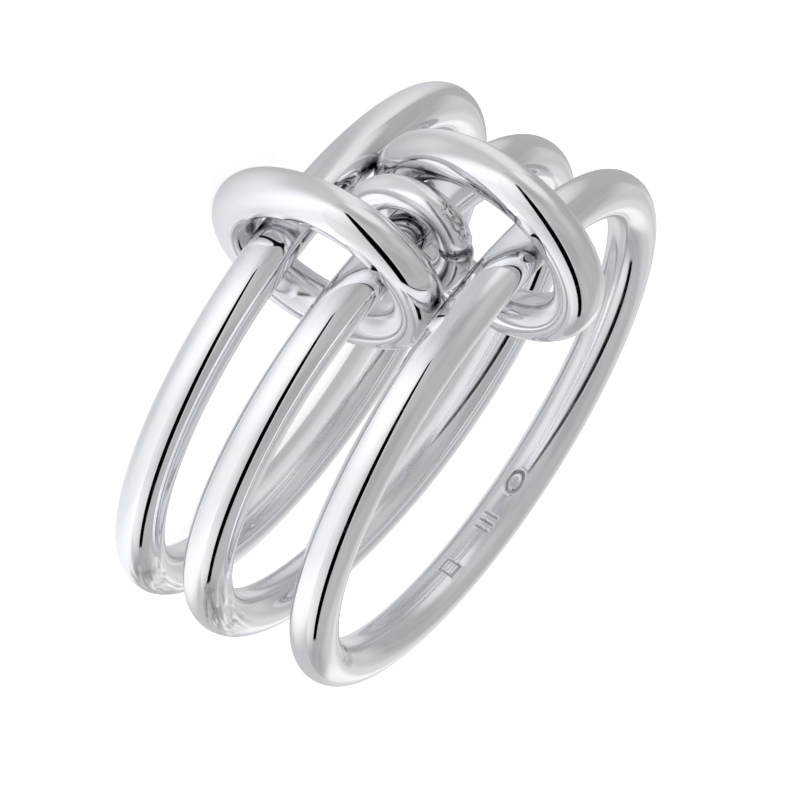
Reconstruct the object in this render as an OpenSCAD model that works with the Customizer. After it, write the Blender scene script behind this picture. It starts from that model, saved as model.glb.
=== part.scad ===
// Stacking ring: three finger bands of round wire, held together by two link
// rings, with a small ring threaded on the middle band between the links.
//
// The ring lies on its side, as it would by itself. The floor is z = 0, the
// finger hole runs along +Z, and the links are on the -Y side. The origin is on
// the floor, under the centre of the middle band.
//
// Each ring is a round wire bent into a closed circle, so it is a torus. It is
// placed by the centre of its wire circle and by its lean: how far its axis
// tips from +Z, and the compass direction it tips toward, counted from +X
// through +Y.

/* [Wire] */
// Diameter of the round wire of the three bands
band_wire_d = 1.7; // [1.2:0.1:2.5]
// Diameter of the round wire of the two link rings
link_wire_d = 1.7; // [1.2:0.1:2.5]
// Diameter of the round wire of the small ring
small_wire_d = 1.2; // [0.8:0.1:1.8]

/* [Inner diameters] */
// Inner diameter of each band, ring size 54
band_inner_d = 17.2; // [15:0.1:21]
// Inner diameter of the lower link ring
link_lower_inner_d = 5.4; // [5:0.1:7]
// Inner diameter of the upper link ring
link_upper_inner_d = 5.8; // [5:0.1:7]
// Inner diameter of the small ring
small_inner_d = 2.45; // [2:0.05:3]

/* [Lower band] */
// Centre in X and Y; its height follows from its lean, as it touches the floor
band_lower_centre = [0, 0.2]; // [-3:0.05:3]
// Tip of its axis from +Z, in degrees, because the lower link lies under it
band_lower_lean = 5.5; // [0:0.5:15]
// Direction that its axis tips toward, in degrees
band_lower_toward = 120; // [0:5:360]

/* [Middle band] */
// Centre of the middle band; it hangs clear of the floor on the links
band_middle_centre = [0, 0, 5.2]; // [-10:0.05:15]
// Tip of its axis from +Z, in degrees
band_middle_lean = 5; // [0:0.5:15]
// Direction that its axis tips toward, in degrees
band_middle_toward = 90; // [0:5:360]

/* [Upper band] */
// Centre of the upper band
band_upper_centre = [-0.6, -0.05, 8.85]; // [-10:0.05:15]
// Tip of its axis from +Z, in degrees
band_upper_lean = 5.5; // [0:0.5:15]
// Direction that its axis tips toward, in degrees
band_upper_toward = 125; // [0:5:360]

/* [Lower link] */
// Centre in X and Y; its height follows, as it stands on the floor
link_lower_centre = [1.9, -8.85]; // [-12:0.05:12]
// Tip of its axis from +Z, in degrees: it stands almost upright
link_lower_lean = 81; // [60:0.5:90]
// Direction that its axis tips toward, in degrees
link_lower_toward = 7; // [-30:1:30]

/* [Upper link] */
// Centre of the upper link ring
link_upper_centre = [-2.4, -8.6, 7.9]; // [-12:0.05:12]
// Tip of its axis from +Z, in degrees
link_upper_lean = 86.5; // [60:0.5:90]
// Direction that its axis tips toward, in degrees
link_upper_toward = 1; // [-30:1:30]

/* [Small ring] */
// Centre of the small ring, beside the wire of the middle band
small_centre = [-0.3, -9.4, 6.1]; // [-12:0.05:12]
// Tip of its axis from +Z, in degrees
small_lean = 79.5; // [60:0.5:90]
// Direction that its axis tips toward, in degrees
small_toward = -11; // [-30:1:30]

/* [Colour] */
// Polished silver
silver = [0.86, 0.87, 0.88];

/* [Hidden] */
band_r = (band_inner_d + band_wire_d) / 2;
link_lower_r = (link_lower_inner_d + link_wire_d) / 2;
link_upper_r = (link_upper_inner_d + link_wire_d) / 2;
small_r = (small_inner_d + small_wire_d) / 2;

// Height of a ring's centre when its lowest point touches the floor
band_lower_z = floor_height(band_r, band_wire_d, band_lower_lean);
link_lower_z = floor_height(link_lower_r, link_wire_d, link_lower_lean);

ring_facets = 180;
wire_facets = 48;

function floor_height(r, wire_d, lean) = r * sin(lean) + wire_d / 2;

// A closed ring of round wire: r is the radius of the wire's own circle
module wire_ring(r, wire_d) {
  rotate_extrude($fn = ring_facets)
    translate([r, 0])
      circle(d = wire_d, $fn = wire_facets);
}

// Sets its children at a centre, with their axis leaning toward a direction
module leaning(centre, lean, toward) {
  translate(centre)
    rotate([0, lean, toward])
      children();
}

module band_lower() {
  color(silver)
    leaning([band_lower_centre.x, band_lower_centre.y, band_lower_z], band_lower_lean, band_lower_toward)
      wire_ring(band_r, band_wire_d);
}

module band_middle() {
  color(silver)
    leaning(band_middle_centre, band_middle_lean, band_middle_toward)
      wire_ring(band_r, band_wire_d);
}

module band_upper() {
  color(silver)
    leaning(band_upper_centre, band_upper_lean, band_upper_toward)
      wire_ring(band_r, band_wire_d);
}

module link_lower() {
  color(silver)
    leaning([link_lower_centre.x, link_lower_centre.y, link_lower_z], link_lower_lean, link_lower_toward)
      wire_ring(link_lower_r, link_wire_d);
}

module link_upper() {
  color(silver)
    leaning(link_upper_centre, link_upper_lean, link_upper_toward)
      wire_ring(link_upper_r, link_wire_d);
}

module small_ring() {
  color(silver)
    leaning(small_centre, small_lean, small_toward)
      wire_ring(small_r, small_wire_d);
}

band_lower();
band_middle();
band_upper();
link_lower();
link_upper();
small_ring();
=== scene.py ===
# %% [markdown]
# A stacking ring of loose silver wire rings, dressed for a studio picture.
#
# The real object is six closed rings of round silver wire. Three wide bands lie in a stack and go round the
# finger. Two links join them in pairs, and one small ring hangs on the middle band alone. Nothing is fixed
# to anything else, so the whole ring is held together only by rings that pass through each other.
#
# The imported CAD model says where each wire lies. This script measures it there, sweeps a finer wire on the
# same line, gives it a polished silver surface, and sets up floor, light and camera.

# %% Load the frame and note the size of the CAD model
import math

import bpy
import numpy as np
from mathutils import Matrix, Vector


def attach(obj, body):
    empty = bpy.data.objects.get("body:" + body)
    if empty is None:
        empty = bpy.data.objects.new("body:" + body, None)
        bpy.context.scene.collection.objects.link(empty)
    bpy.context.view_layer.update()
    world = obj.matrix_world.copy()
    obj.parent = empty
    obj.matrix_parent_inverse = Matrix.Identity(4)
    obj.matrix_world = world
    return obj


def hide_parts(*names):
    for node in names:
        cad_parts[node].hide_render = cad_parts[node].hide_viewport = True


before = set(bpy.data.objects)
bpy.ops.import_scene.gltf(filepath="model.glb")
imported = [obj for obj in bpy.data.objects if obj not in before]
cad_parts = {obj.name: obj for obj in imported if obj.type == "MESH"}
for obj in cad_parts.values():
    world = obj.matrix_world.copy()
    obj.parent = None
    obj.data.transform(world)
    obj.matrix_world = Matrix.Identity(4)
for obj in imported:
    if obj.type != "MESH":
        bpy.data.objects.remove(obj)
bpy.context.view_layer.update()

MM = 0.001

# %% [markdown]
# Measuring a wire ring. A closed ring of round wire is a torus, and four facts say all of it: its centre, the
# axis that it is closed round, the radius of the wire's middle line and the radius of the wire. The centre is
# the middle of its surface, and the axis is the direction in which that surface spreads least. The two radii
# follow from one straight line fitted through the squared distances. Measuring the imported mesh, instead of
# repeating numbers from the CAD source, keeps the dressed ring on the CAD ring whatever its size.

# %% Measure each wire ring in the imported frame
# Every axis is taken to point to this side.
AXIS_SIDE = (0.5, 0.0, 1.0)


def measure_wire_ring(node_name):
    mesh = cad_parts[node_name].data
    points = np.array([v.co for v in mesh.vertices])
    faces = np.array([f.center for f in mesh.polygons])
    areas = np.array([f.area for f in mesh.polygons])
    centre = (faces * areas[:, None]).sum(0) / areas.sum()
    spread = (faces - centre).T @ ((faces - centre) * areas[:, None])
    axis = np.linalg.eigh(spread)[1][:, 0]
    axis = axis * (1 if axis @ AXIS_SIDE > 0 else -1)
    along = (points - centre) @ axis
    out = np.linalg.norm(points - centre - np.outer(along, axis), axis=1)
    (twice_radius, rest), *_ = np.linalg.lstsq(
        np.stack([out, np.ones_like(out)], axis=1), out**2 + along**2, rcond=None)
    ring_radius = twice_radius / 2
    wire_radius = math.sqrt(rest + ring_radius**2)
    start = np.array((1.0, 0.0, 0.0)) - axis * axis[0]
    start = start / np.linalg.norm(start)
    return {"centre": centre, "axis": axis, "start": start, "side": np.cross(axis, start),
            "ring_radius": ring_radius, "wire_radius": wire_radius}


WIRE_RINGS = ("band_lower", "band_middle", "band_upper", "link_lower", "link_upper", "small_ring")
measured = {name: measure_wire_ring(name) for name in WIRE_RINGS}
for name, m in measured.items():
    print(f"{name}: centre {np.round(m['centre'] / MM, 2)} mm, axis {np.round(m['axis'], 3)}, "
          f"radius {m['ring_radius'] / MM:.3f} mm, wire {2 * m['wire_radius'] / MM:.3f} mm")

# %% [markdown]
# Small helpers for node trees. Geometry, materials and the studio's light are all built from nodes here, and
# each tree reads better when a node is made, set and joined up in one line. An input's name is written with
# underscores for its spaces, and i0, i1 and i2 are inputs by their number, where names repeat.

# %% Helpers that make and join nodes
def fill(tree, socket, value):
    if isinstance(value, bpy.types.NodeSocket):
        tree.links.new(value, socket)
    else:
        socket.default_value = value


def node(tree, kind, title=None, settings=None, **inputs):
    made = tree.nodes.new(kind)
    made.label = title or ""
    for name, value in (settings or {}).items():
        setattr(made, name, value)
    for name, value in inputs.items():
        by_number = name[0] == "i" and name[1:].isdigit()
        fill(tree, made.inputs[int(name[1:]) if by_number else name.replace("_", " ")], value)
    return made


def maths(tree, operation, a, b=0.0, c=0.0, title=None):
    made = node(tree, "ShaderNodeMath", title, {"operation": operation}, i0=a, i1=b)
    if operation == "WRAP":
        fill(tree, made.inputs[2], c)
    return made.outputs[0]


def vector(tree, operation, a, title=None, **inputs):
    return node(tree, "ShaderNodeVectorMath", title, {"operation": operation}, i0=a, **inputs).outputs


def soft_step(tree, value, low, high, title=None, to_low=0.0, to_high=1.0):
    return node(tree, "ShaderNodeMapRange", title, {"interpolation_type": "SMOOTHSTEP"}, Value=value,
                From_Min=low, From_Max=high, To_Min=to_low, To_Max=to_high).outputs["Result"]


print("node helpers ready")

# %% [markdown]
# The wire. A jeweller winds round wire on a rod, saws each turn off, closes it and solders the joint, and
# then files and polishes ring and joint together. Its shape follows a rule, a round section swept round a
# circle, so one Geometry Nodes tree makes all six rings, and what sets one ring apart is only a list of named
# sizes. A modelled torus would do for a plain ring, but not for the traces of handwork, which this tree can
# place at an angle along the ring and an angle round the wire. Lengths are in metres, angles in radians.

# %% Name the sizes of a wire ring
WIRE_SIZES = {
    # the ring itself, and the number of steps of its mesh
    "Ring radius": 0.0095, "Wire radius": 0.00085, "Steps along": 480, "Steps round": 80,
    # a stretch along the ring and round the wire, in turns, and the share of all steps that it gets
    "Fine from": 0.0, "Fine to": 1.0, "Fine share": 1.0,
    "Fine side from": 0.0, "Fine side to": 1.0, "Fine side share": 1.0,
    # a section that filing left a little oval: how much, its long side, and where along the ring it is most
    "Oval share": 0.0, "Oval side": 0.0, "Oval place": 0.0,
    # the slow unevenness that the buffing wheel leaves
    "Waver height": 0.0000015, "Waver length": 0.005,
    # the patch of solder over the joint, the creases in it, and the dirt that stays in them
    "Solder place": 0.0, "Solder side": 0.0, "Solder reach": 0.7, "Solder length": 0.002,
    "Solder height": 0.000004, "Crinkle height": 0.00002, "Crinkle size": 0.0005, "Crinkle draw": 0.25,
    "Solder dirt": 0.15,
    # the joint's own line
    "Joint place": 0.0, "Joint depth": 0.000001, "Joint width": 0.00012, "Joint dirt": 0.0,
    # where the noise starts, and the ring's place
    "Seed": 0.0, "Centre": (0, 0, 0), "Turn": (0, 0, 0),
}
SOCKET_KINDS = {int: "NodeSocketInt", float: "NodeSocketFloat", tuple: "NodeSocketVector"}


def wire_inputs(tree):
    face = tree.interface
    for name, value in WIRE_SIZES.items():
        face.new_socket(name, in_out="INPUT", socket_type=SOCKET_KINDS[type(value)]).default_value = value
    face.new_socket("Finish", in_out="INPUT", socket_type="NodeSocketMaterial")
    face.new_socket("Wire", in_out="OUTPUT", socket_type="NodeSocketGeometry")
    return tree.nodes.new("NodeGroupInput").outputs


print(len(WIRE_SIZES), "named sizes")

# %% [markdown]
# Steps where they are needed. A smooth wire needs few steps, but a stamped mark or the creases of a solder
# joint need many, and a ring that is fine everywhere would be far too heavy. So a step's number is turned
# into an angle by two straight lines instead of one: the fine stretch gets its own share of the steps.
#
# Sweeping a circle along a circle then gives the mesh. Each point keeps both of its angles as attributes, and
# from here on everything about the surface is a formula of those two angles. The angles run against the way
# in which the sweep winds its faces, which leaves them looking into the wire, so they are flipped.

# %% Sweep the section along the ring
def crowded_turn(tree, given, count, stretch, title):
    fine_from, fine_to, share = given[stretch + " from"], given[stretch + " to"], given[stretch + " share"]
    number = maths(tree, "DIVIDE", node(tree, "GeometryNodeInputIndex").outputs[0], given[count])
    inside = node(tree, "ShaderNodeMapRange", title + ", fine", {"clamp": True}, Value=number,
                  From_Min=0.0, From_Max=share, To_Min=fine_from, To_Max=fine_to).outputs[0]
    beyond = node(tree, "ShaderNodeMapRange", title + ", rest", {"clamp": True}, Value=number,
                  From_Min=share, From_Max=1.0, To_Min=fine_to,
                  To_Max=maths(tree, "ADD", fine_from, 1.0)).outputs[0]
    past = maths(tree, "GREATER_THAN", number, share)
    turn = maths(tree, "ADD", maths(tree, "MULTIPLY", inside, maths(tree, "SUBTRACT", 1.0, past)),
                 maths(tree, "MULTIPLY", beyond, past))
    return maths(tree, "MULTIPLY", turn, math.tau)


def keep(tree, geometry, name, value, kind="FLOAT"):
    return node(tree, "GeometryNodeStoreNamedAttribute", name, {"data_type": kind, "domain": "POINT"},
                Geometry=geometry, Name=name, Value=value).outputs["Geometry"]


def circle_of(tree, given, count, radius, stretch, title):
    made = node(tree, "GeometryNodeCurvePrimitiveCircle", title, Resolution=given[count],
                Radius=given[radius]).outputs["Curve"]
    return keep(tree, made, title, crowded_turn(tree, given, count, stretch, title))


def swept_wire(tree, given):
    path = circle_of(tree, given, "Steps along", "Ring radius", "Fine", "along")
    section = circle_of(tree, given, "Steps round", "Wire radius", "Fine side", "round")
    swept = node(tree, "GeometryNodeCurveToMesh", "sweep the section", Curve=path, Profile_Curve=section)
    outside = node(tree, "GeometryNodeFlipFaces", "faces look outwards", Mesh=swept.outputs[0])
    at = {"mesh": outside.outputs[0]}
    for name in ("along", "round"):
        at[name] = node(tree, "GeometryNodeInputNamedAttribute", name, {"data_type": "FLOAT"},
                        Name=name).outputs[0]
        at["cos " + name] = maths(tree, "COSINE", at[name])
        at["sin " + name] = maths(tree, "SINE", at[name])
    at["outward"] = node(tree, "ShaderNodeCombineXYZ", "outward", Z=at["sin round"],
                         X=maths(tree, "MULTIPLY", at["cos round"], at["cos along"]),
                         Y=maths(tree, "MULTIPLY", at["cos round"], at["sin along"])).outputs[0]
    at["middle"] = node(tree, "ShaderNodeCombineXYZ", "middle line of the wire",
                        X=maths(tree, "MULTIPLY", given["Ring radius"], at["cos along"]),
                        Y=maths(tree, "MULTIPLY", given["Ring radius"], at["sin along"])).outputs[0]
    return at


print("a wire can be swept")

# %% [markdown]
# The solder joint. Where the wire's ends meet, solder has flowed over them and was dressed down, which leaves
# a slightly raised patch with fine creases. On the bands they are drawn out along the wire, as the polish
# ran, and on the small ring, too tight for the wheel, they stay as curls beside a dark line. The patch is a
# soft spot between two angles. The creases are where a noise crosses its own middle value, which gives long,
# branching lines, as in real solder, where the noise's hills alone would look like pebbles.

# %% Place the solder, its creases and the joint's line
# A noise keeps mostly within this swing of its middle value, and it is a crease this close to it.
NOISE_MIDDLE, NOISE_SWING, CREASE_HALF = 0.5, 0.25, 0.16


def turn_from(tree, angle, place):
    off = maths(tree, "WRAP", maths(tree, "SUBTRACT", angle, place), math.pi, -math.pi)
    return maths(tree, "ABSOLUTE", off)


def fading(tree, value, reach, title, full=0.5):
    return soft_step(tree, value, reach, maths(tree, "MULTIPLY", reach, full), title)


def length_from(tree, given, at, place):
    return maths(tree, "MULTIPLY", turn_from(tree, at["along"], given[place]), given["Ring radius"])


def solder_patch(tree, given, at):
    lengthways = fading(tree, length_from(tree, given, at, "Solder place"), given["Solder length"],
                        "solder along the wire")
    crossways = fading(tree, turn_from(tree, at["round"], given["Solder side"]), given["Solder reach"],
                       "solder round the wire")
    return maths(tree, "MULTIPLY", lengthways, crossways)


def joint_line(tree, given, at):
    return fading(tree, length_from(tree, given, at, "Joint place"), given["Joint width"], "joint line",
                  full=0.1)


def creases(tree, given, at):
    length = maths(tree, "MULTIPLY", at["along"], given["Ring radius"])
    drawn = node(tree, "ShaderNodeCombineXYZ", "drawn out along the wire",
                 X=maths(tree, "MULTIPLY", at["cos round"], given["Wire radius"]),
                 Y=maths(tree, "MULTIPLY", at["sin round"], given["Wire radius"]),
                 Z=maths(tree, "MULTIPLY", length, given["Crinkle draw"])).outputs[0]
    uneven = node(tree, "ShaderNodeTexNoise", "uneven solder", {"noise_dimensions": "4D"}, Vector=drawn,
                  W=given["Seed"], Scale=maths(tree, "DIVIDE", 1.0, given["Crinkle size"]), Detail=1.5,
                  Roughness=0.4).outputs[0]
    from_crease = maths(tree, "ABSOLUTE", maths(tree, "SUBTRACT", uneven, NOISE_MIDDLE))
    return soft_step(tree, from_crease, CREASE_HALF, 0.0, "creases in the solder")


print("a joint can be placed")

# %% [markdown]
# The height of the surface. Hand polishing never leaves a wire perfectly true, and mirror silver shows it at
# once, so a low, slow noise of a few thousandths of a millimetre gives the reflections their soft waver. The
# two links have also been filed a little oval, which moves the light on them. All of it is real relief in the
# mesh, because a mirror's reflections follow the shape.

# %% Shape the surface of the wire
def on_surface(tree, at, height, title):
    raised = vector(tree, "SCALE", at["outward"], Scale=height)[0]
    return vector(tree, "ADD", raised, title, i1=at["middle"])[0]


def polishing_waver(tree, given, at):
    waver = node(tree, "ShaderNodeTexNoise", "polishing waver", {"noise_dimensions": "4D"},
                 Vector=on_surface(tree, at, given["Wire radius"], "on the wire"), W=given["Seed"],
                 Scale=maths(tree, "DIVIDE", 1.0, given["Waver length"]), Detail=1.0,
                 Roughness=0.35).outputs[0]
    swing = maths(tree, "DIVIDE", given["Waver height"], NOISE_SWING)
    return maths(tree, "MULTIPLY", maths(tree, "SUBTRACT", waver, NOISE_MIDDLE), swing)


def oval_section(tree, given, at):
    twice_round = maths(tree, "MULTIPLY", 2.0, maths(tree, "SUBTRACT", at["round"], given["Oval side"]))
    from_oval = maths(tree, "COSINE", maths(tree, "SUBTRACT", at["along"], given["Oval place"]))
    most_oval = maths(tree, "ADD", 0.5, maths(tree, "MULTIPLY", from_oval, 0.5))
    out_and_in = maths(tree, "MULTIPLY", maths(tree, "COSINE", twice_round), most_oval)
    return maths(tree, "MULTIPLY", out_and_in, maths(tree, "MULTIPLY", given["Wire radius"],
                                                     given["Oval share"]))


def dressed_solder(tree, given, patch, crease):
    creased = maths(tree, "MULTIPLY", given["Crinkle height"], crease)
    return maths(tree, "MULTIPLY", patch, maths(tree, "SUBTRACT", given["Solder height"], creased))


def surface_height(tree, given, at, patch, joint, crease):
    height = given["Wire radius"]
    for relief in (polishing_waver(tree, given, at), oval_section(tree, given, at),
                   dressed_solder(tree, given, patch, crease)):
        height = maths(tree, "ADD", height, relief)
    return maths(tree, "SUBTRACT", height, maths(tree, "MULTIPLY", joint, given["Joint depth"]))


def shape_wire(tree, at, height):
    return node(tree, "GeometryNodeSetPosition", "shape the wire", Geometry=at["mesh"],
                Position=on_surface(tree, at, height, "surface")).outputs[0]


print("a surface can be shaped")

# %% [markdown]
# What the finish needs to know. A material can't tell which way the polish ran or which side faced the
# finger, so the tree notes it on the mesh: where the solder is, where dirt can sit, which side looks inwards,
# and a direction for the polishing lines. That last one is made of sines and cosines of the two angles, so
# that a pattern on it closes on itself with no visible join, slow along the wire and quick round it.

# %% Complete the tree of the wire ring
# The cosine round the wire where the side to the finger begins and is full, and how slowly the polishing
# lines change along the wire.
FINGER_SIDE, CHANGE_ALONG = (-0.75, -0.97), 0.3


def wire_ring_tree():
    tree = bpy.data.node_groups.new("closed ring of wire", "GeometryNodeTree")
    given = wire_inputs(tree)
    at = swept_wire(tree, given)
    patch, joint, crease = (make(tree, given, at) for make in (solder_patch, joint_line, creases))
    mesh = shape_wire(tree, at, surface_height(tree, given, at, patch, joint, crease))
    mesh = keep(tree, mesh, "seam", maths(tree, "MAXIMUM", patch, joint))
    lengthwise = node(tree, "ShaderNodeCombineXYZ", "slow along, quick round", X=at["cos round"],
                      Y=at["sin round"], Z=maths(tree, "MULTIPLY", at["sin along"], CHANGE_ALONG)).outputs[0]
    mesh = keep(tree, mesh, "polish_line", lengthwise, "FLOAT_VECTOR")
    mesh = keep(tree, mesh, "inside", soft_step(tree, at["cos round"], *FINGER_SIDE, "side to the finger"))
    in_creases = maths(tree, "MULTIPLY", maths(tree, "MULTIPLY", patch, crease), given["Solder dirt"])
    in_joint = maths(tree, "MULTIPLY", joint, given["Joint dirt"])
    mesh = keep(tree, mesh, "dirt", maths(tree, "MAXIMUM", in_creases, in_joint))
    smooth = node(tree, "GeometryNodeSetShadeSmooth", "smooth", Geometry=mesh)
    turned = node(tree, "GeometryNodeTransform", "into place", Geometry=smooth.outputs[0],
                  Translation=given["Centre"], Rotation=given["Turn"])
    real = node(tree, "GeometryNodeRealizeInstances", None, Geometry=turned.outputs[0])
    finished = node(tree, "GeometryNodeSetMaterial", None, Geometry=real.outputs[0], Material=given["Finish"])
    tree.links.new(finished.outputs[0], tree.nodes.new("NodeGroupOutput").inputs[0])
    return tree


sweep_tree = wire_ring_tree()
print("the tree has", len(sweep_tree.nodes), "nodes")

# %% [markdown]
# Polished silver. Bare silver is a mirror with a very slightly cool tint, so nearly all of its look is the
# room that it reflects, and the material's own detail has to stay faint: a haze where the buffing wheel left
# the surface a little less bright, hairlines that run along the wire as the polish did, tiny pits, a satin
# side towards the finger where the wheel hardly reaches, painted shade where wires pass close, dirt and
# tarnish in the solder's creases and the marks' grooves, and a duller solder patch. All of it comes from
# patterns on the piece and from what the tree noted, so no image texture is needed.

# %% Name the silver's values and make its patterns
SILVER_VALUES = {
    "Bright": (0.868, 0.878, 0.896, 1), "Shade and dirt": (0.27, 0.27, 0.28, 1), "Haze size": 0.0012,
    "Mirror roughness": 0.04, "Haze roughness": 0.07, "Hairlines": 0.3, "Hairline roughness": 0.12,
    "Inside roughness": 0.13, "Seam roughness": 0.08}
SILVER_OUTPUTS = {"Colour": "NodeSocketColor", "Roughness": "NodeSocketFloat", "Normal": "NodeSocketVector"}
# The noise values where haze and hairlines begin and are full, and how dark a crevice is without haze.
HAZE_FROM_TO, HAIR_FROM_TO, CREVICE_SHADE = (0.45, 0.75), (0.58, 0.72), 0.6
# How many hairlines and pits, how much a pit counts beside a hairline, and the bump that they share.
HAIRLINES_ROUND, PITS_PER_METRE, PIT_SHARE = 14.0, 9000.0, 0.03
BUMP_STRENGTH, BUMP_DEPTH = 0.02, 0.02 * MM


def noted(tree, name, output="Fac"):
    return node(tree, "ShaderNodeAttribute", name, {"attribute_name": name}).outputs[output]


def buffing_haze(tree, given, place):
    haze = node(tree, "ShaderNodeTexNoise", "buffing haze", Vector=place, Detail=3.0, Roughness=0.6,
                Scale=maths(tree, "DIVIDE", 1.0, given["Haze size"])).outputs[0]
    return soft_step(tree, haze, *HAZE_FROM_TO, "hazed places")


def hairlines(tree):
    return node(tree, "ShaderNodeTexNoise", "hairlines", Vector=noted(tree, "polish_line", "Vector"),
                Scale=HAIRLINES_ROUND, Detail=4.0, Roughness=0.7).outputs[0]


print("shared values of the silver:", sorted(SILVER_VALUES))

# %% [markdown]
# From patterns to a surface. All rings share it, so it is one shader node group, and each material gives it
# values of its own. Roughness starts at that of the mirror, and each pattern adds its own amount. The colour
# is the bright metal, mixed with a dark colour where a crevice was noted: painted shade near other wires, and
# dirt and tarnish in the solder and the marks. The relief is the only bump in the scene: its lines and pits
# are far finer than the mesh. The group puts out only what changes over the surface. That silver is a metal
# is said on the shader itself.

# %% Build the shared surface of the silver
def silver_roughness(tree, given, hazed, hair):
    hairs = maths(tree, "MULTIPLY", soft_step(tree, hair, *HAIR_FROM_TO, "hairlines"), given["Hairlines"])
    masks = {"Haze": hazed, "Hairline": hairs, "Inside": noted(tree, "inside"), "Seam": noted(tree, "seam")}
    rough = given["Mirror roughness"]
    for name, mask in masks.items():
        added = maths(tree, "MULTIPLY", mask, given[name + " roughness"])
        rough = maths(tree, "ADD", rough, added, title=name + " roughness")
    return rough


def silver_colour(tree, given, hazed):
    # Painted shade near other wires, together with dirt in the solder and tarnish in the grooves, darkens the
    # colour here.
    shade = maths(tree, "MULTIPLY", noted(tree, "crevice"), maths(tree, "ADD", CREVICE_SHADE, hazed))
    return node(tree, "ShaderNodeMix", "painted shade and dirt in crevices", {"data_type": "RGBA", "clamp_factor": True},
                i0=shade, i6=given["Bright"], i7=given["Shade and dirt"]).outputs[2]


def silver_relief(tree, given, place, hair):
    pits = node(tree, "ShaderNodeTexNoise", "fine pits", Vector=place, Scale=PITS_PER_METRE,
                Detail=2.0).outputs[0]
    relief = maths(tree, "ADD", maths(tree, "MULTIPLY", hair, given["Hairlines"]),
                   maths(tree, "MULTIPLY", pits, PIT_SHARE))
    return node(tree, "ShaderNodeBump", "relief", Strength=BUMP_STRENGTH, Distance=BUMP_DEPTH,
                Height=relief).outputs[0]


def silver_surface_group():
    tree = bpy.data.node_groups.new("polished silver surface", "ShaderNodeTree")
    for name, value in SILVER_VALUES.items():
        kind = "NodeSocketColor" if isinstance(value, tuple) else "NodeSocketFloat"
        tree.interface.new_socket(name, in_out="INPUT", socket_type=kind).default_value = value
    for name, kind in SILVER_OUTPUTS.items():
        tree.interface.new_socket(name, in_out="OUTPUT", socket_type=kind)
    given = tree.nodes.new("NodeGroupInput").outputs
    place = node(tree, "ShaderNodeTexCoord", "place on the piece").outputs["Object"]
    hazed, hair = buffing_haze(tree, given, place), hairlines(tree)
    node(tree, "NodeGroupOutput", Colour=silver_colour(tree, given, hazed),
         Roughness=silver_roughness(tree, given, hazed, hair), Normal=silver_relief(tree, given, place, hair))
    return tree


silver_surface = silver_surface_group()
print("the silver's surface has", len(silver_surface.nodes), "nodes")

# %% [markdown]
# Three silvers. The bands are large and easy to buff. The links were turned in the fingers and show a finer
# haze. The small ring is the hardest to reach, so it keeps a softer, satin shine. They differ only in the
# values given to the shared group.

# %% Make the materials
def polished_silver(name, **values):
    material = bpy.data.materials.new(name)
    material.use_nodes = True
    tree = material.node_tree
    shader = tree.nodes["Principled BSDF"]
    shader.inputs["Metallic"].default_value = 1.0
    surface = node(tree, "ShaderNodeGroup", "surface", {"node_tree": silver_surface}, **values)
    for socket, out in (("Base Color", "Colour"), ("Roughness", "Roughness"), ("Normal", "Normal")):
        tree.links.new(surface.outputs[out], shader.inputs[socket])
    return material


band_silver = polished_silver("polished silver bands", Seam_roughness=0.02)
link_silver = polished_silver("polished silver links", Haze_size=0.0009)
# The small ring's brighter silver is painted light: its colour is raised to make up for darker reflections on
# it.
small_silver = polished_silver(
    "polished silver small ring", Bright=(0.965, 0.977, 0.995, 1), Haze_size=0.0007, Mirror_roughness=0.2,
    Inside_roughness=-0.13, Seam_roughness=-0.13)
print("materials:", [m.name for m in bpy.data.materials])

# %% [markdown]
# Making a ring. Each ring is an object with the tree as its modifier. The tree's inputs are found by name and
# set by their identifier, before the object is first evaluated. The result is then kept as a plain mesh, with
# its place in the mesh itself.

# %% Make a ring from the tree
def place_and_sizes(m):
    turn = Matrix(np.stack([m["start"], m["side"], m["axis"]], axis=1).tolist()).to_euler()
    return {"Ring radius": float(m["ring_radius"]), "Wire radius": float(m["wire_radius"]),
            "Centre": tuple(m["centre"]), "Turn": tuple(turn)}


def set_inputs(modifier, given):
    for socket in modifier.node_group.interface.items_tree:
        if socket.in_out == "INPUT" and socket.name in given:
            value = given[socket.name]
            if isinstance(value, tuple):
                for i, part in enumerate(value):
                    modifier[socket.identifier][i] = float(part)
            else:
                modifier[socket.identifier] = value


def make_wire_ring(name, finish, steps, **values):
    holder = bpy.data.objects.new(name + "_wire", bpy.data.meshes.new(name + "_start"))
    bpy.context.scene.collection.objects.link(holder)
    modifier = holder.modifiers.new("closed ring of wire", "NODES")
    modifier.node_group = sweep_tree
    given = place_and_sizes(measured[name])
    given.update({"Steps along": steps[0], "Steps round": steps[1], "Finish": finish})
    given.update({key.replace("_", " "): value for key, value in values.items()})
    set_inputs(modifier, given)
    bpy.context.view_layer.update()
    made = holder.evaluated_get(bpy.context.evaluated_depsgraph_get())
    mesh = bpy.data.meshes.new_from_object(made)
    holder.modifiers.remove(modifier)
    holder.data = mesh
    return holder


print("a ring can be made")

# %% [markdown]
# The six rings. The lower and the middle band carry their joint at the bend nearest to the viewer, with many
# steps there. The upper band has its joint there too, but spends its steps inside, on the stretch that is
# struck with marks later. The links hide their joints below. The small ring's joint is the most open of all,
# a dark groove with curls of solder beside it.

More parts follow.
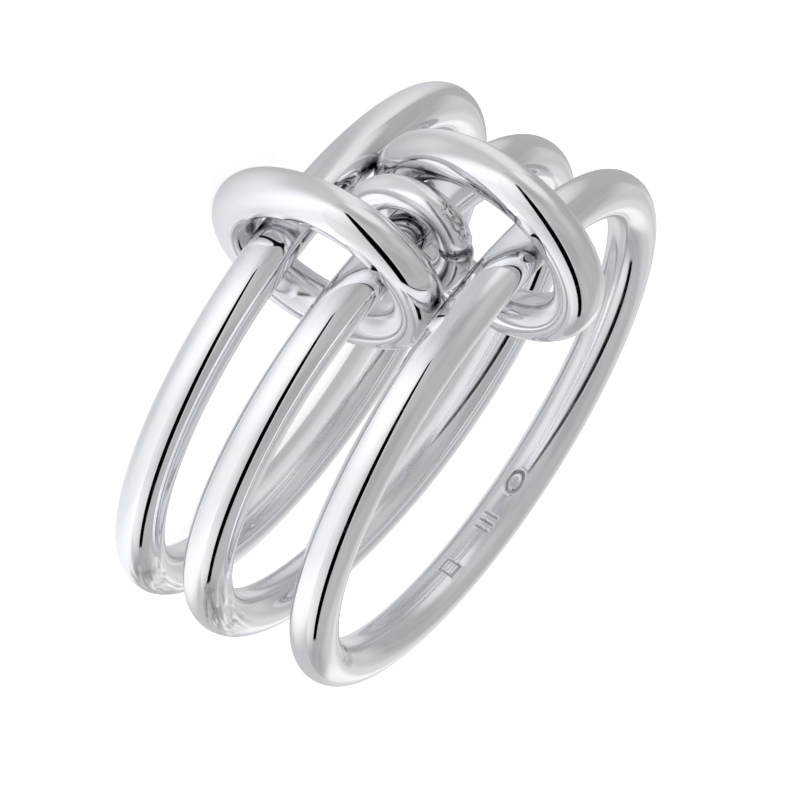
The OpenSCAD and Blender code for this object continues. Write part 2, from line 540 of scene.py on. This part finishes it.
# %% Make the six rings
SOLDERED = dict(Fine_from=-0.02, Fine_to=0.12, Fine_share=0.36, Solder_dirt=0.6,
                Crinkle_height=0.000038, Crinkle_size=0.00022, Crinkle_draw=0.10)
STAMPED = dict(Fine_from=81 / 360, Fine_to=121 / 360, Fine_share=290 / 760,
               Fine_side_from=137 / 360, Fine_side_to=223 / 360, Fine_side_share=64 / 122)
FILED = dict(Solder_reach=0.5, Solder_length=0.001, Crinkle_height=0.00001, Oval_side=-0.3)
rings = {
    "band_lower": make_wire_ring(
        "band_lower", band_silver, (640, 120), Seed=1.0, Solder_place=0.42, Solder_side=0.9,
        Solder_reach=0.9, Solder_length=0.003, Joint_place=0.5, **SOLDERED),
    "band_middle": make_wire_ring(
        "band_middle", band_silver, (640, 120), Seed=2.0, Solder_place=0.3, Solder_side=1.2,
        Solder_reach=1.0, Solder_length=0.0036, Joint_place=0.36, **SOLDERED),
    "band_upper": make_wire_ring(
        "band_upper", band_silver, (760, 122), Seed=3.0, Solder_place=0.44, Solder_side=2.2,
        Solder_reach=0.5, Solder_length=0.0011, Crinkle_size=0.00035, Solder_dirt=0.8, Joint_place=0.44,
        **STAMPED),
    "link_lower": make_wire_ring(
        "link_lower", link_silver, (300, 88), Seed=4.0, Solder_place=-2.2, Solder_side=-0.5,
        Joint_place=-2.35, Oval_share=0.065, Oval_place=-1.66, **FILED),
    "link_upper": make_wire_ring(
        "link_upper", link_silver, (300, 88), Seed=5.0, Solder_place=-2.6, Solder_side=-0.6,
        Joint_place=-2.6, Oval_share=0.052, Oval_place=-1.6, **FILED),
    "small_ring": make_wire_ring(
        "small_ring", small_silver, (360, 130), Seed=6.0, Solder_place=3.06, Solder_side=0.2,
        Solder_reach=0.62, Solder_length=0.0008, Crinkle_height=0.00004, Crinkle_size=0.00026,
        Crinkle_draw=1.0, Solder_dirt=0.85, Joint_place=2.58, Joint_depth=0.00006, Joint_width=0.00022,
        Joint_dirt=1.6),
}
for name, ring in rings.items():
    print(f"{name}: {len(ring.data.polygons)} faces")

# %% [markdown]
# Weighing them. A closed mesh whose faces all look outwards encloses a positive volume, and one that is
# inside out a negative volume, so this one number is a good test of a mesh. Times the density of sterling
# silver it also gives the weight, which can be compared with a real ring of this kind.

# %% Weigh the rings
SILVER_DENSITY = 10360


def points_of(mesh):
    flat = np.empty(len(mesh.vertices) * 3)
    mesh.vertices.foreach_get("co", flat)
    return flat.reshape(-1, 3)


def enclosed_volume(mesh):
    mesh.calc_loop_triangles()
    corners = np.empty(len(mesh.loop_triangles) * 3, dtype=np.int32)
    mesh.loop_triangles.foreach_get("vertices", corners)
    a, b, c = points_of(mesh)[corners.reshape(-1, 3)].transpose(1, 0, 2)
    return float((a * np.cross(b, c)).sum() / 6)


grams = {name: 1000 * SILVER_DENSITY * enclosed_volume(ring.data) for name, ring in rings.items()}
print("weight in g:", {name: round(weight, 2) for name, weight in grams.items()})
print("all six:", round(sum(grams.values()), 2), "g, least:", round(min(grams.values()), 2))

# %% [markdown]
# Crevices. Where wires pass close by each other, the colour is darkened: a painted shade that stands in for
# ambient occlusion, which would find such places, but only by casting rays. Here the distance to another
# wire follows from the measured middle lines, exactly and at no cost. It is kept as an attribute, together
# with the dirt that the tree placed in the solder, and the silver's surface reads it.

# %% Note how close each point lies to another wire
def values_of(mesh, name):
    flat = np.empty(len(mesh.vertices))
    mesh.attributes[name].data.foreach_get("value", flat)
    return flat


def gap_to_wire(points, m):
    along = (points - m["centre"]) @ m["axis"]
    out = np.linalg.norm(points - m["centre"] - np.outer(along, m["axis"]), axis=1)
    return np.hypot(out - m["ring_radius"], along) - m["wire_radius"]


# Painted shade: within this reach of another wire the colour darkens, and past DARK_FROM a point counts as
# dark.
CREVICE_REACH, DARK_FROM = 0.4 * MM, 0.3
for name, ring in rings.items():
    points = points_of(ring.data)
    gap = np.min([gap_to_wire(points, m) for other, m in measured.items() if other != name], axis=0)
    near = np.exp(-((np.maximum(gap, 0) / CREVICE_REACH) ** 2))
    near = np.maximum(near, values_of(ring.data, "dirt"))
    kept = ring.data.attributes.new("crevice", "FLOAT", "POINT")
    kept.data.foreach_set("value", near.astype(np.float32))
    print(f"{name}: nearest wire {gap.min() / MM:.3f} mm away, {100 * (near > DARK_FROM).mean():.1f} % dark")

# %% [markdown]
# Marks. The upper band is struck with small marks inside, facing the finger. A punch is a steel sign that is
# hammered into the metal: it sinks a narrow groove and raises a faint lip on both sides. The marks here are
# plain signs that mean nothing, an oval, three bars and a square. Each is written as the distance to a drawn
# line, and the groove's section is a formula of that distance. Cutting the signs out with a boolean would
# leave hard edges, where struck metal is soft.

# %% Draw the punches as distances to a line
OVAL_ACROSS, OVAL_ALONG = 0.40 * MM, 0.25 * MM
BAR_PLACES, BAR_HALF, SQUARE_HALF = (-0.3 * MM, 0.0, 0.3 * MM), 0.24 * MM, 0.27 * MM


def oval_line(u, v):
    return np.abs(np.hypot(u / OVAL_ACROSS, v / OVAL_ALONG) - 1) * OVAL_ALONG


def bar_lines(u, v):
    beyond = np.maximum(np.abs(v) - BAR_HALF, 0)
    return np.min([np.hypot(u - place, beyond) for place in BAR_PLACES], axis=0)


def square_line(u, v):
    return np.abs(np.maximum(np.abs(u), np.abs(v)) - SQUARE_HALF)


MARKS = ((114.0, oval_line), (102.3, bar_lines), (87.5, square_line))
print("marks at", [angle for angle, line in MARKS], "degrees along the upper band")

# %% [markdown]
# Striking them. For each point inside the band, two lengths say where it is on the unrolled surface: how far
# along from the middle of the mark, and how far across. The point then moves in or out along its own normal.
# The groove is also noted as a crevice, because polish and tarnish stay in it and make it readable.

# %% Strike the marks inside the upper band
GROOVE_HALF, GROOVE_DEPTH, GROOVE_CURVE = 0.055 * MM, 0.05 * MM, 0.8
LIP_HEIGHT, LIP_PLACE, LIP_WIDTH = 0.008 * MM, 1.35 * GROOVE_HALF, 0.5 * GROOVE_HALF
PUNCH_REACH = 0.8 * MM


def unrolled(points, m):
    offset = points - m["centre"]
    along = np.degrees(np.arctan2(offset @ m["side"], offset @ m["start"]))
    flat = offset - np.outer(offset @ m["axis"], m["axis"])
    from_axis = np.linalg.norm(flat, axis=1)
    outward = points - (m["centre"] + flat / from_axis[:, None] * m["ring_radius"])
    outward = outward / np.linalg.norm(outward, axis=1)[:, None]
    across = np.arcsin(np.clip(outward @ m["axis"], -1, 1)) * m["wire_radius"]
    return along, across, outward, from_axis < m["ring_radius"]


def punched(distance):
    groove = np.clip(1 - (distance / GROOVE_HALF) ** 2, 0, 1) ** GROOVE_CURVE
    lip = np.exp(-(((distance - LIP_PLACE) / LIP_WIDTH) ** 2))
    return groove, LIP_HEIGHT * lip - GROOVE_DEPTH * groove


def strike_marks(ring, m):
    points = points_of(ring.data)
    along, across, outward, inside = unrolled(points, m)
    move = np.zeros(len(points))
    dark = values_of(ring.data, "crevice")
    for place, line in MARKS:
        reach = np.radians(along - place) * (m["ring_radius"] - m["wire_radius"])
        near = inside & (np.abs(reach) < PUNCH_REACH)
        groove, change = punched(line(reach[near], across[near]))
        move[near] += change
        dark[near] = np.maximum(dark[near], groove)
    moved = points + outward * move[:, None]
    ring.data.vertices.foreach_set("co", moved.ravel())
    ring.data.attributes["crevice"].data.foreach_set("value", dark.astype(np.float32))
    ring.data.update()
    return np.abs(move).max()


print("deepest mark in mm:", round(strike_marks(rings["band_upper"], measured["band_upper"]) / MM, 4))

# %% [markdown]
# Handing over. Each dressed ring takes the place of its CAD ring and rides on the part's one body. The rings
# are loose on the real object, but they hang in each other like a chain, and a chain has no hinge to turn
# about, so the part has one body and no joints.

# %% Hand the rings to the frame
for name, ring in rings.items():
    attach(ring, "root")
    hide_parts(name)
print("handed over:", list(rings))

# %% [markdown]
# Floor. Jewellery is often shot on a white acrylic table that is lit from below as well, so that the ground
# turns pure white and no shadow falls. A little emission does that here.

# %% Lay the table
TABLE_HALF = 1.2
corners = [(-TABLE_HALF, -TABLE_HALF, 0), (TABLE_HALF, -TABLE_HALF, 0), (TABLE_HALF, TABLE_HALF, 0),
           (-TABLE_HALF, TABLE_HALF, 0)]
floor_mesh = bpy.data.meshes.new("floor")
floor_mesh.from_pydata(corners, [], [(0, 1, 2, 3)])
floor = bpy.data.objects.new("floor", floor_mesh)
bpy.context.scene.collection.objects.link(floor)
print("table", 2 * TABLE_HALF, "m wide at z = 0")

# %% [markdown]
# What the silver sees of such a table is not one even white, but zones: brighter towards the lamps, greyer
# towards the room, and dim under the ring itself. A mirror makes nearly all of its look from them, so the
# table has a second colour for rays that come from a reflection, with painted light and painted shade in it,
# and a painted shadow under the ring. It varies by the side of the table, by the distance from the ring, and
# by whether the table is seen flatly or steeply, a painted sheen like the gloss on acrylic. A painted
# picture of a studio would do the same, but numbers can be turned one at a time.

# %% Name the table's tones
COOL = (0.992, 1.0, 1.011)
# Painted light and shade on each side of the table: its direction, full within and gone by, in degrees, then
# its tone when seen steeply and when seen flatly.
PAINTED_TABLE_SIDES = (
    (350, 45, 75, 0.14, 0.31),
    (30, 0, 25, 0.0, 0.09),
    (308, 5, 30, 0.12, 0.10),
    (285, 5, 35, 0.14, 0.03),
    (118, 5, 30, 0.18, 0.11),
    (220, 5, 35, 0.03, 0.19),
    (175, 12, 42, -0.03, -0.10))
# Painted light on the whole table and painted shade under the ring, each when seen steeply and flatly, and
# the Facing value at which the painted sheen of a flat view is full.
TABLE_PAINTED_LIGHT, UNDER_RING_PAINTED_LIGHT, SEEN_FLATLY = (0.52, 0.455), (-0.12, 0.28), 0.35
# Under the ring the painted light brightens in this direction, and past the ring the painted sides take over.
BRIGHTER_WAY, BRIGHTER_FROM_TO, PAST_RING_FROM_TO = (1, 0.3, 0), (-8 * MM, 2 * MM), (4 * MM, 15 * MM)


def seen(tree, flatly, when_steep, when_flat):
    return maths(tree, "ADD", when_steep, maths(tree, "MULTIPLY", flatly, when_flat - when_steep))


def side_lobe(tree, facing, inner, outer, title="brighter side"):
    return soft_step(tree, facing, math.cos(math.radians(outer)), math.cos(math.radians(inner)), title)


print("the table has", len(PAINTED_TABLE_SIDES), "sides of painted light")

# %% Tone the table as the silver sees it
def painted_light_past_ring(tree, toward, flatly):
    total = 0.0
    for azimuth, inner, outer, when_steep, when_flat in PAINTED_TABLE_SIDES:
        a = math.radians(azimuth)
        facing = vector(tree, "DOT_PRODUCT", toward, i1=(math.cos(a), math.sin(a), 0))["Value"]
        lobe = side_lobe(tree, facing, inner, outer)
        tone = seen(tree, flatly, when_steep, when_flat)
        total = maths(tree, "ADD", total, maths(tree, "MULTIPLY", lobe, tone))
    return total


def painted_light_under_ring(tree, spot, flatly):
    way = vector(tree, "DOT_PRODUCT", spot, i1=BRIGHTER_WAY)["Value"]
    return maths(tree, "MULTIPLY", soft_step(tree, way, *BRIGHTER_FROM_TO, "painted light, brighter half under the ring"),
                 seen(tree, flatly, *UNDER_RING_PAINTED_LIGHT))


def painted_table_light(tree):
    spot = node(tree, "ShaderNodeTexCoord", "place on the table").outputs["Object"]
    toward = vector(tree, "NORMALIZE", spot, "direction on the table")["Vector"]
    away = vector(tree, "LENGTH", spot, "distance on the table")["Value"]
    # Painted sheen: the table's colour in the mirror changes with how flatly it is seen.
    glancing = node(tree, "ShaderNodeLayerWeight", "seen flatly or steeply", Blend=0.5).outputs["Facing"]
    flatly = soft_step(tree, glancing, 0.0, SEEN_FLATLY, "seen flatly")
    past_ring, under_ring = painted_light_past_ring(tree, toward, flatly), painted_light_under_ring(tree, spot, flatly)
    outside = soft_step(tree, away, *PAST_RING_FROM_TO, "past the ring")
    tone = maths(tree, "ADD", under_ring, maths(
        tree, "MULTIPLY", outside, maths(tree, "SUBTRACT", past_ring, under_ring)))
    return maths(tree, "ADD", tone, seen(tree, flatly, *TABLE_PAINTED_LIGHT))


print("the table can be toned")

# %% [markdown]
# Painting the table. Light Path tells a ray that comes straight from the camera from one that comes by way of
# the silver, so the camera gets the plain white and the silver gets the table's painted light and shade. The
# paint is dull, so that the table doesn't show the ring upside down, and its glow is what makes the ground
# pure white. The glow takes the same colours, so in the mirror the painted light glows too.

# %% Paint the table
WHITE, TABLE_GLOW, TABLE_DULLNESS = 0.95, 0.55, 0.9
table_white = bpy.data.materials.new("white lit table")
table_white.use_nodes = True
tree = table_white.node_tree
table_shader = tree.nodes["Principled BSDF"]
table_shader.inputs["Roughness"].default_value = TABLE_DULLNESS
table_shader.inputs["Specular IOR Level"].default_value = 0.0
table_shader.inputs["Emission Strength"].default_value = TABLE_GLOW
cooled = vector(tree, "SCALE", COOL, "slightly cool", Scale=painted_table_light(tree))[0]
mirrored = node(tree, "ShaderNodeLightPath").outputs["Is Glossy Ray"]
white_or_painted_light = node(tree, "ShaderNodeMix", "white, or painted light in a mirror", {"data_type": "RGBA"},
                  i0=mirrored, i6=(WHITE, WHITE, WHITE, 1), i7=cooled)
for socket in ("Base Color", "Emission Color"):
    tree.links.new(white_or_painted_light.outputs[2], table_shader.inputs[socket])
floor_mesh.materials.append(table_white)
print("the table's material has", len(tree.nodes), "nodes")

# %% [markdown]
# Light. The ring stands in a tent of white cloth, the usual cure for a mirror, which would otherwise show the
# whole studio. What gives polished metal its snap is the place where the tent is not white: the bright card
# and the roof leave a gap between them, and that black gap runs along every wire as a thin, hard, black line.
# Above the gap lies a bright rim, and the cloth has lighter and darker places where lamps stand behind it.
#
# The world's background is a good tent, because it lies infinitely far away and so lights all pieces alike.
# The gap is long and straight, so a direction is read as a tilt about the Y axis and a place along that axis.

# %% Name the parts of the light tent
# Lighter and darker places in the cloth: azimuth, elevation, full within and gone by, in degrees, then how
# much light each adds or takes.
CLOTH_PLACES = (
    (-52, 0, 8, 42, 0.15),
    (108, 4, 5, 14, 0.34),
    (112, 20, 3, 26, 0.17),
    (228, 12, 4, 30, 0.36),
    (135, 5, 4, 28, 0.12),
    (42, 14, 4, 24, 0.13),
    (298, 5, 4, 24, 0.12),
    (-5, 62, 4, 26, -0.10),
    (85, 15, 4, 20, -0.07),
    (178, 18, 5, 34, -0.05),
    (-90, 20, 4, 22, -0.08),
    (232, 52, 5, 24, 0.07),
    (252, 10, 4, 22, 0.10))
# Card, gap and rim: from and to in degrees of tilt and how softly, then from and to along the Y axis, as a
# share of the distance from it, and how softly.
GAP_FROM, GAP_TO = 31.4, 46.4
CARD = ((-60, GAP_FROM), 0.8, (-2.6, 2.2), 0.9)
GAP = ((GAP_FROM, GAP_TO), 0.5, (-2.6, 2.1), 0.1)
RIM = ((47.0, 50.0), 1.0, (-2.4, 0.3), 0.4)
ROOF = (50, 74, 4)
# The card is lit from below: tilt at its top and further down, then the light there.
CARD_TILTS, CARD_LIGHTS = (34, -10), (0.17, 0.42)
CLOTH_LIGHT, FOLD_LIGHT, RIM_LIGHT, ROOF_LIGHT = 0.51, 0.16, 0.24, 0.035
print(len(CLOTH_PLACES), "places in the cloth, and a gap of", round(GAP_TO - GAP_FROM, 1), "degrees")

# %% [markdown]
# Reading a direction. Each part of the tent is a mask that is 1 where a direction meets it and 0 elsewhere,
# with a soft edge. A long straight part is a window of tilts and places along the Y axis, and a lamp behind
# the cloth is a round spot, full within one angle of its middle and gone by another.

# %% Make masks of directions
def between(tree, value, low, high, soft):
    return maths(tree, "MULTIPLY", soft_step(tree, value, low - soft, low + soft),
                 soft_step(tree, value, high + soft, high - soft))


def window(tree, tilt, side, tilts, tilt_soft, sides, side_soft):
    return maths(tree, "MULTIPLY", between(tree, tilt, *tilts, tilt_soft),
                 between(tree, side, *sides, side_soft))


def cloth_place(tree, toward, azimuth, elevation, inner, outer):
    a, e = math.radians(azimuth), math.radians(elevation)
    centre = (math.cos(e) * math.cos(a), math.cos(e) * math.sin(a), math.sin(e))
    return side_lobe(tree, vector(tree, "DOT_PRODUCT", toward, i1=centre)["Value"], inner, outer, "cloth")


def tilt_and_side(tree, toward):
    xyz = node(tree, "ShaderNodeSeparateXYZ", None, Vector=toward).outputs
    tilt = maths(tree, "MULTIPLY", maths(tree, "ARCTAN2", xyz["Z"], xyz["X"]), 180 / math.pi)
    across = maths(tree, "SQRT", maths(tree, "ADD", maths(tree, "MULTIPLY", xyz["X"], xyz["X"]),
                                       maths(tree, "MULTIPLY", xyz["Z"], xyz["Z"])))
    return tilt, maths(tree, "DIVIDE", xyz["Y"], across)


print("masks of directions ready")

# %% [markdown]
# Putting the tent up. The masks, each times its light, are added to the plain light of the cloth, and the gap
# is taken out last, because nothing lights it.

# %% Build the light tent
def light_tent():
    world = bpy.data.worlds.new("light tent")
    world.use_nodes = True
    tree = world.node_tree
    toward = node(tree, "ShaderNodeTexCoord", "direction").outputs["Generated"]
    tilt, side = tilt_and_side(tree, toward)
    card, gap, rim = (window(tree, tilt, side, *part) for part in (CARD, GAP, RIM))
    card_light = soft_step(tree, tilt, *CARD_TILTS, "card, dimmer at its top", *CARD_LIGHTS)
    folds = node(tree, "ShaderNodeTexNoise", "folds of the cloth", Vector=toward, Scale=3.2, Detail=2.0,
                 Roughness=0.5, Distortion=0.6).outputs[0]
    lit = [(card, card_light), (rim, RIM_LIGHT), (between(tree, tilt, *ROOF), ROOF_LIGHT),
           (maths(tree, "SUBTRACT", folds, NOISE_MIDDLE), FOLD_LIGHT)]
    lit += [(cloth_place(tree, toward, *place), strength) for *place, strength in CLOTH_PLACES]
    light = CLOTH_LIGHT
    for where, strength in lit:
        light = maths(tree, "ADD", light, maths(tree, "MULTIPLY", where, strength))
    light = maths(tree, "MULTIPLY", light, maths(tree, "SUBTRACT", 1.0, gap))
    cooled = vector(tree, "SCALE", COOL, "slightly cool", Scale=light)[0]
    tree.links.new(cooled, tree.nodes["Background"].inputs["Color"])
    bpy.context.scene.world = world
    return len(tree.nodes)


print("the tent is a tree of", light_tent(), "nodes")

# %% [markdown]
# A wide softbox above the tent lights the table evenly. It is hidden from the silver, because the cloth
# between them would hide it on a real set too, and its round shape would show as a hard spot.

# %% Hang the softbox
overhead = bpy.data.lights.new("overhead softbox", "AREA")
overhead.shape = "DISK"
overhead.size = 1.8
overhead.energy = 4.0
softbox = bpy.data.objects.new("overhead softbox", overhead)
softbox.location = (-0.1, 0.15, 0.8)
softbox.rotation_euler = (-softbox.location).to_track_quat("-Z", "Y").to_euler()
softbox.visible_glossy = False
softbox.visible_camera = False
bpy.context.scene.collection.objects.link(softbox)
print("softbox of", overhead.energy, "W at", tuple(round(c, 2) for c in softbox.location))

# %% [markdown]
# Camera. The photograph was taken with a long lens, so that the three bands keep their size from front to
# back. The ring lies on its side here, as it would by itself, so the camera takes the photograph's angle to
# the ring: it looks down by about 21 degrees and is rolled until the bands slope as they do there. The
# Standard view transform keeps white paper white and the black gap black.

# %% Place the camera
CAMERA_AZIMUTH, CAMERA_ELEVATION, CAMERA_ROLL = -60.877, 20.671, 123.117
CAMERA_DISTANCE, FOCAL_PIXELS, PICTURE_WIDTH = 472.5 * MM, 13686, 800
aim = Vector((-0.203, 0.415, 5.908)) * MM
a, e = math.radians(CAMERA_AZIMUTH), math.radians(CAMERA_ELEVATION)
back = Vector((math.cos(e) * math.cos(a), math.cos(e) * math.sin(a), math.sin(e)))
level = Vector((0, 0, 1)).cross(back).normalized()
right = Matrix.Rotation(math.radians(CAMERA_ROLL), 3, back) @ level
camera_data = bpy.data.cameras.new("camera")
camera_data.sensor_width = 36
camera_data.lens = FOCAL_PIXELS / PICTURE_WIDTH * camera_data.sensor_width
camera_data.clip_end = 10
camera = bpy.data.objects.new("camera", camera_data)
camera.matrix_world = Matrix.Translation(aim + back * CAMERA_DISTANCE) @ Matrix(
    (right, back.cross(right), back)).transposed().to_4x4()
bpy.context.scene.collection.objects.link(camera)
bpy.context.scene.camera = camera
bpy.context.scene.view_settings.view_transform = "Standard"
print("camera at", tuple(round(c, 4) for c in camera.matrix_world.translation), "lens", camera_data.lens)
